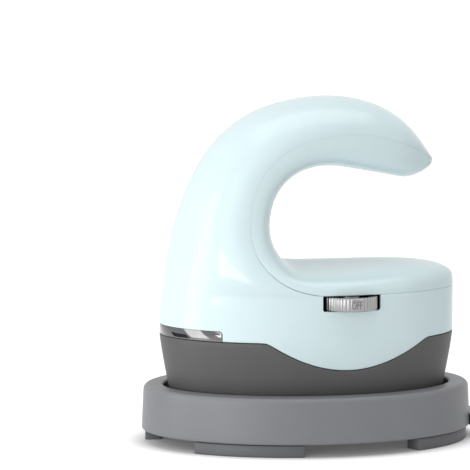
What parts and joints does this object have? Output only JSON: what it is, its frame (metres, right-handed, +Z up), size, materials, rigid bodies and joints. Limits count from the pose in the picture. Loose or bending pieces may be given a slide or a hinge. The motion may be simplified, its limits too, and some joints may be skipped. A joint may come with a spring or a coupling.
{
  "type": "mini heat press",
  "caption": "Hand-held mini heat press with a C-shaped handle and an oval heating plate, standing in its insulated tray, with a temperature thumbwheel in its side.",
  "frame": {"origin": "centre of the whole object's footprint box, on the floor under the feet", "axes": "+X along the heating plate towards the nose, under the open end of the handle; -Y is the side with the thumbwheel; +Z up"},
  "size_m": [0.1338, 0.0858, 0.1357],
  "materials": {
    "pale_plastic": "satin gloss",
    "cover_plastic": "satin gloss",
    "housing_plastic": "fine matte texture",
    "bright_trim": "dark chrome",
    "silver_plastic": "silver paint",
    "shaft_plastic": "natural",
    "clear_plastic": "clear",
    "black_rubber": "matte",
    "tray_plastic": "satin",
    "liner_sheet": "matte heat-proof sheet",
    "foot_rubber": "matte",
    "coated_plate": "cream coating, bare edge",
    "element_steel": "drawn tube",
    "shield_sheet": "mill finish",
    "fuse_body": "glazed",
    "board_laminate": "solder mask",
    "part_black": "moulded",
    "part_blue": "moulded",
    "part_cream": "moulded",
    "lead_red": "silicone sleeve",
    "lead_white": "silicone sleeve",
    "lead_black": "sheath",
    "screw_steel": "zinc plated"
  },
  "bodies": {
    "base": {"base_tray": "tray_plastic", "base_liner": "liner_sheet", "foot_front_left": "foot_rubber", "foot_nose_end": "foot_rubber", "foot_rear_end": "foot_rubber", "foot_back_right": "foot_rubber"},
    "press": {"outer_shell": "pale_plastic", "inner_cover": "cover_plastic", "lower_housing": "housing_plastic", "rear_trim": "bright_trim", "status_lens": "clear_plastic", "status_led": "clear_plastic", "cord_bushing": "black_rubber", "heat_plate": "coated_plate", "heating_element": "element_steel", "heat_shield": "shield_sheet", "temperature_sensor": "element_steel", "thermal_fuse": "fuse_body", "control_board": "board_laminate", "rotary_switch": "part_black", "power_relay": "part_blue", "film_capacitor": "part_cream", "terminal_block": "part_cream", "heater_lead_live": "lead_red", "heater_lead_neutral": "lead_red", "board_lead": "lead_white", "sensor_lead": "lead_white", "mains_tail": "lead_black", "plate_screw_1": "screw_steel", "board_screw_1": "screw_steel", "plate_screw_2": "screw_steel", "board_screw_2": "screw_steel", "plate_screw_3": "screw_steel", "board_screw_3": "screw_steel", "plate_screw_4": "screw_steel", "board_screw_4": "screw_steel", "housing_screw_front": "screw_steel", "housing_screw_rear": "screw_steel"},
    "wheel": {"thumbwheel": "silver_plastic", "switch_shaft": "shaft_plastic"}
  },
  "joints": [
    {"name": "lift_off", "type": "slide", "parent": "base", "child": "press", "axis": [0, 0, 1], "range_m": [0, 0.06]},
    {"name": "wheel_turn", "type": "hinge", "parent": "press", "child": "wheel", "pos_m": [0.0104, -0.0295, 0.058], "axis": [0, 0, 1], "range_deg": [0, 120]}
  ]
}
